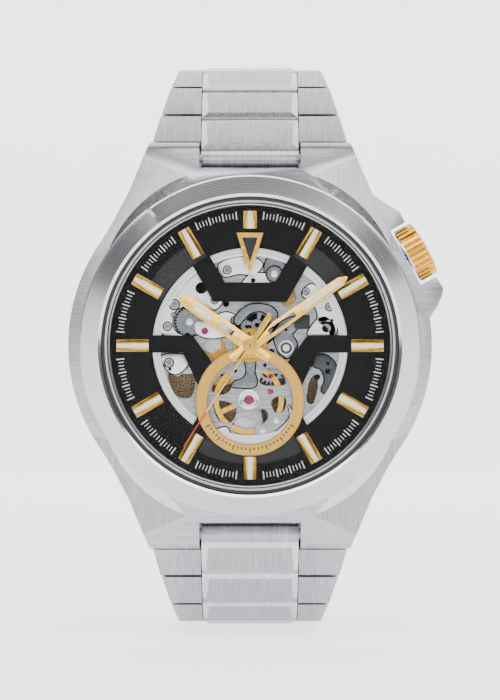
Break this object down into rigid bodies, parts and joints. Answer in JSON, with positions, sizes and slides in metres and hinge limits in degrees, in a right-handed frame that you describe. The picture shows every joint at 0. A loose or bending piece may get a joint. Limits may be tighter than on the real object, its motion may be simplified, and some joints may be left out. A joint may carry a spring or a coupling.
{
  "type": "skeleton wristwatch",
  "caption": "Round skeleton wristwatch with a see-through movement, fluted crown, steel link bracelet and folding clasp.",
  "frame": {"origin": "middle of the case back's flat outer face, where the watch rests on the wrist", "axes": "+Y is out of the case back towards the wrist, so the dial faces -Y; +Z is 12 o'clock; +X is 3 o'clock"},
  "size_m": [0.0475, 0.0584, 0.075],
  "materials": {
    "brushed_steel": "satin brushed stainless steel",
    "polished_steel": "polished stainless steel",
    "gold_plate": "polished yellow gold plating",
    "gilt_brass": "fine turned brass",
    "rhodium_plate": "rhodium plated brass, straight grained",
    "tempered_steel": "hardened and polished steel",
    "black_dial": "matt black lacquer on brass",
    "crystal": "clear flat mineral glass",
    "gasket_rubber": "matt black nitrile rubber"
  },
  "bodies": {
    "case": {"case_middle": "brushed_steel", "bezel": "brushed_steel", "crystal": "crystal", "crystal_gasket": "gasket_rubber", "inner_flange": "rhodium_plate", "case_back": "brushed_steel", "back_crystal": "crystal", "dial": "black_dial", "balance_window_ring": "gold_plate", "movement_holder": "rhodium_plate", "mainplate": "rhodium_plate", "train_bridge": "rhodium_plate", "balance_bridge": "rhodium_plate", "hairspring": "tempered_steel", "rotor_bearing": "tempered_steel", "spring_bar_12": "polished_steel", "spring_bar_6": "polished_steel"},
    "crown_slide": {"crown_gasket": "gasket_rubber"},
    "crown": {"crown": "gold_plate", "winding_stem": "tempered_steel"},
    "winding_pinion": {"winding_pinion": "tempered_steel"},
    "crown_wheel": {"crown_wheel": "tempered_steel"},
    "ratchet": {"ratchet_wheel": "tempered_steel", "barrel_arbor": "tempered_steel"},
    "click": {"click": "tempered_steel"},
    "barrel": {"barrel": "gilt_brass", "mainspring": "tempered_steel"},
    "centre": {"centre_wheel": "gilt_brass", "cannon_pinion": "tempered_steel", "minute_hand": "gold_plate"},
    "third": {"third_wheel": "gilt_brass"},
    "seconds": {"fourth_wheel": "gilt_brass", "seconds_hand": "gold_plate"},
    "escape": {"escape_wheel": "tempered_steel"},
    "fork": {"pallet_fork": "tempered_steel"},
    "balance": {"balance_wheel": "gold_plate"},
    "minute_wheel": {"minute_wheel": "gilt_brass"},
    "hours": {"hour_wheel": "gilt_brass", "hour_hand": "gold_plate"},
    "rotor": {"rotor": "rhodium_plate"},
    "link_12_1": {"link_12_1": "brushed_steel"},
    "link_12_2": {"link_12_2": "brushed_steel"},
    "link_12_3": {"link_12_3": "brushed_steel"},
    "link_12_4": {"link_12_4": "brushed_steel"},
    "link_12_5": {"link_12_5": "brushed_steel"},
    "link_12_6": {"link_12_6": "brushed_steel"},
    "link_12_7": {"link_12_7": "brushed_steel"},
    "link_12_8": {"link_12_8": "brushed_steel"},
    "link_6_1": {"link_6_1": "brushed_steel"},
    "link_6_2": {"link_6_2": "brushed_steel"},
    "link_6_3": {"link_6_3": "brushed_steel"},
    "link_6_4": {"link_6_4": "brushed_steel"},
    "link_6_5": {"link_6_5": "brushed_steel"},
    "link_6_6": {"link_6_6": "brushed_steel"},
    "link_6_7": {"link_6_7": "brushed_steel"},
    "clasp_inner_blade": {"clasp_inner_blade": "brushed_steel"},
    "clasp_middle_blade": {"clasp_middle_blade": "brushed_steel"},
    "clasp_cover": {"clasp_cover": "brushed_steel"},
    "button_right": {"push_button_right": "polished_steel"},
    "button_left": {"push_button_left": "polished_steel"}
  },
  "joints": [
    {"name": "seconds_turn", "type": "hinge", "parent": "case", "child": "seconds", "pos_m": [0, -0.0093, 0], "axis": [0, 1, 0], "continuous": true},
    {"name": "minutes_turn", "type": "hinge", "parent": "case", "child": "centre", "pos_m": [0, -0.0088, 0], "axis": [0, 1, 0], "continuous": true},
    {"name": "hours_turn", "type": "hinge", "parent": "case", "child": "hours", "pos_m": [0, -0.0083, 0], "axis": [0, 1, 0], "continuous": true},
    {"name": "third_turn", "type": "hinge", "parent": "case", "child": "third", "pos_m": [-0.00375, -0.0041, -0.00154], "axis": [0, 1, 0], "continuous": true},
    {"name": "barrel_turn", "type": "hinge", "parent": "case", "child": "barrel", "pos_m": [0.00179, -0.0051, 0.00567], "axis": [0, 1, 0], "continuous": true},
    {"name": "escape_turn", "type": "hinge", "parent": "case", "child": "escape", "pos_m": [0.00262, -0.0047, -0.00315], "axis": [0, 1, 0], "continuous": true},
    {"name": "minute_wheel_turn", "type": "hinge", "parent": "case", "child": "minute_wheel", "pos_m": [0.0009, -0.007, 0.0026], "axis": [0, 1, 0], "continuous": true},
    {"name": "crown_pull", "type": "slide", "parent": "case", "child": "crown_slide", "axis": [0.8712, 0, 0.4909], "range_m": [0, 0.0009]},
    {"name": "crown_turn", "type": "hinge", "parent": "crown_slide", "child": "crown", "pos_m": [0.02134, -0.0053, 0.01203], "axis": [0.8712, 0, 0.4909], "continuous": true},
    {"name": "winding_pinion_turn", "type": "hinge", "parent": "case", "child": "winding_pinion", "pos_m": [0.00828, -0.0053, 0.00466], "axis": [0.8712, 0, 0.4909], "continuous": true},
    {"name": "crown_wheel_turn", "type": "hinge", "parent": "case", "child": "crown_wheel", "pos_m": [0.00566, -0.004, 0.00319], "axis": [0, 1, 0], "continuous": true},
    {"name": "ratchet_turn", "type": "hinge", "parent": "case", "child": "ratchet", "pos_m": [0.00179, -0.004, 0.00567], "axis": [0, 1, 0], "continuous": true},
    {"name": "click_lift", "type": "hinge", "parent": "case", "child": "click", "pos_m": [-0.00161, -0.004, 0.00657], "axis": [0, 1, 0], "range_deg": [0, 8]},
    {"name": "fork_rock", "type": "hinge", "parent": "case", "child": "fork", "pos_m": [0.00113, -0.0047, -0.00516], "axis": [0, 1, 0], "range_deg": [-4, 4]},
    {"name": "balance_swing", "type": "hinge", "parent": "case", "child": "balance", "pos_m": [-0.00015, -0.0053, -0.0069], "axis": [0, 1, 0], "range_deg": [-150, 150], "stiffness_Nm_per_rad": 0.0000004},
    {"name": "rotor_turn", "type": "hinge", "parent": "case", "child": "rotor", "pos_m": [0, -0.002, 0], "axis": [0, 1, 0], "continuous": true},
    {"name": "link_12_1_hinge", "type": "hinge", "parent": "case", "child": "link_12_1", "pos_m": [0, -0.0042, 0.0241], "axis": [1, 0, 0], "range_deg": [0, 25]},
    {"name": "link_12_2_hinge", "type": "hinge", "parent": "link_12_1", "child": "link_12_2", "pos_m": [0, 0.00116, 0.02844], "axis": [1, 0, 0], "range_deg": [0, 9]},
    {"name": "link_12_3_hinge", "type": "hinge", "parent": "link_12_2", "child": "link_12_3", "pos_m": [0, 0.00674, 0.0325], "axis": [1, 0, 0], "range_deg": [0, 18]},
    {"name": "link_12_4_hinge", "type": "hinge", "parent": "link_12_3", "child": "link_12_4", "pos_m": [0, 0.01305, 0.0353], "axis": [1, 0, 0], "range_deg": [0, 24]},
    {"name": "link_12_5_hinge", "type": "hinge", "parent": "link_12_4", "child": "link_12_5", "pos_m": [0, 0.01991, 0.03603], "axis": [1, 0, 0], "range_deg": [0, 25]},
    {"name": "link_12_6_hinge", "type": "hinge", "parent": "link_12_5", "child": "link_12_6", "pos_m": [0, 0.02663, 0.03447], "axis": [1, 0, 0], "range_deg": [0, 24]},
    {"name": "link_12_7_hinge", "type": "hinge", "parent": "link_12_6", "child": "link_12_7", "pos_m": [0, 0.03255, 0.03092], "axis": [1, 0, 0], "range_deg": [0, 23]},
    {"name": "link_12_8_hinge", "type": "hinge", "parent": "link_12_7", "child": "link_12_8", "pos_m": [0, 0.03716, 0.02579], "axis": [1, 0, 0], "range_deg": [0, 20]},
    {"name": "link_6_1_hinge", "type": "hinge", "parent": "case", "child": "link_6_1", "pos_m": [0, -0.0042, -0.0241], "axis": [1, 0, 0], "range_deg": [-25, 0]},
    {"name": "link_6_2_hinge", "type": "hinge", "parent": "link_6_1", "child": "link_6_2", "pos_m": [0, 0.00116, -0.02844], "axis": [1, 0, 0], "range_deg": [-9, 0]},
    {"name": "link_6_3_hinge", "type": "hinge", "parent": "link_6_2", "child": "link_6_3", "pos_m": [0, 0.00674, -0.0325], "axis": [1, 0, 0], "range_deg": [-18, 0]},
    {"name": "link_6_4_hinge", "type": "hinge", "parent": "link_6_3", "child": "link_6_4", "pos_m": [0, 0.01305, -0.0353], "axis": [1, 0, 0], "range_deg": [-24, 0]},
    {"name": "link_6_5_hinge", "type": "hinge", "parent": "link_6_4", "child": "link_6_5", "pos_m": [0, 0.01991, -0.03603], "axis": [1, 0, 0], "range_deg": [-25, 0]},
    {"name": "link_6_6_hinge", "type": "hinge", "parent": "link_6_5", "child": "link_6_6", "pos_m": [0, 0.02663, -0.03447], "axis": [1, 0, 0], "range_deg": [-24, 0]},
    {"name": "link_6_7_hinge", "type": "hinge", "parent": "link_6_6", "child": "link_6_7", "pos_m": [0, 0.03255, -0.03092], "axis": [1, 0, 0], "range_deg": [-23, 0]},
    {"name": "clasp_end_hinge", "type": "hinge", "parent": "link_6_7", "child": "clasp_inner_blade", "pos_m": [0, 0.03716, -0.02579], "axis": [1, 0, 0], "range_deg": [-20, 0]},
    {"name": "clasp_fold", "type": "hinge", "parent": "clasp_inner_blade", "child": "clasp_middle_blade", "pos_m": [0, 0.04195, 0.01537], "axis": [1, 0, 0], "range_deg": [0, 150]},
    {"name": "clasp_cover_fold", "type": "hinge", "parent": "clasp_middle_blade", "child": "clasp_cover", "pos_m": [0, 0.04078, -0.02094], "axis": [1, 0, 0], "range_deg": [-150, 0]},
    {"name": "push_button_right_press", "type": "slide", "parent": "clasp_cover", "child": "button_right", "axis": [-1, 0, 0], "range_m": [0, 0.0005], "stiffness_N_per_m": 300},
    {"name": "push_button_left_press", "type": "slide", "parent": "clasp_cover", "child": "button_left", "axis": [1, 0, 0], "range_m": [0, 0.0005], "stiffness_N_per_m": 300}
  ],
  "couplings": [
    {"joint": "minutes_turn", "follows": "seconds_turn", "ratio": 0.016667},
    {"joint": "hours_turn", "follows": "seconds_turn", "ratio": 0.0013889},
    {"joint": "third_turn", "follows": "seconds_turn", "ratio": -0.13333},
    {"joint": "barrel_turn", "follows": "seconds_turn", "ratio": -0.002381},
    {"joint": "escape_turn", "follows": "seconds_turn", "ratio": -9},
    {"joint": "minute_wheel_turn", "follows": "seconds_turn", "ratio": -0.0055556},
    {"joint": "winding_pinion_turn", "follows": "crown_turn", "ratio": 1},
    {"joint": "crown_wheel_turn", "follows": "crown_turn", "ratio": -0.46667},
    {"joint": "ratchet_turn", "follows": "crown_turn", "ratio": 0.41176},
    {"joint": "clasp_cover_fold", "follows": "clasp_fold", "ratio": -1}
  ]
}
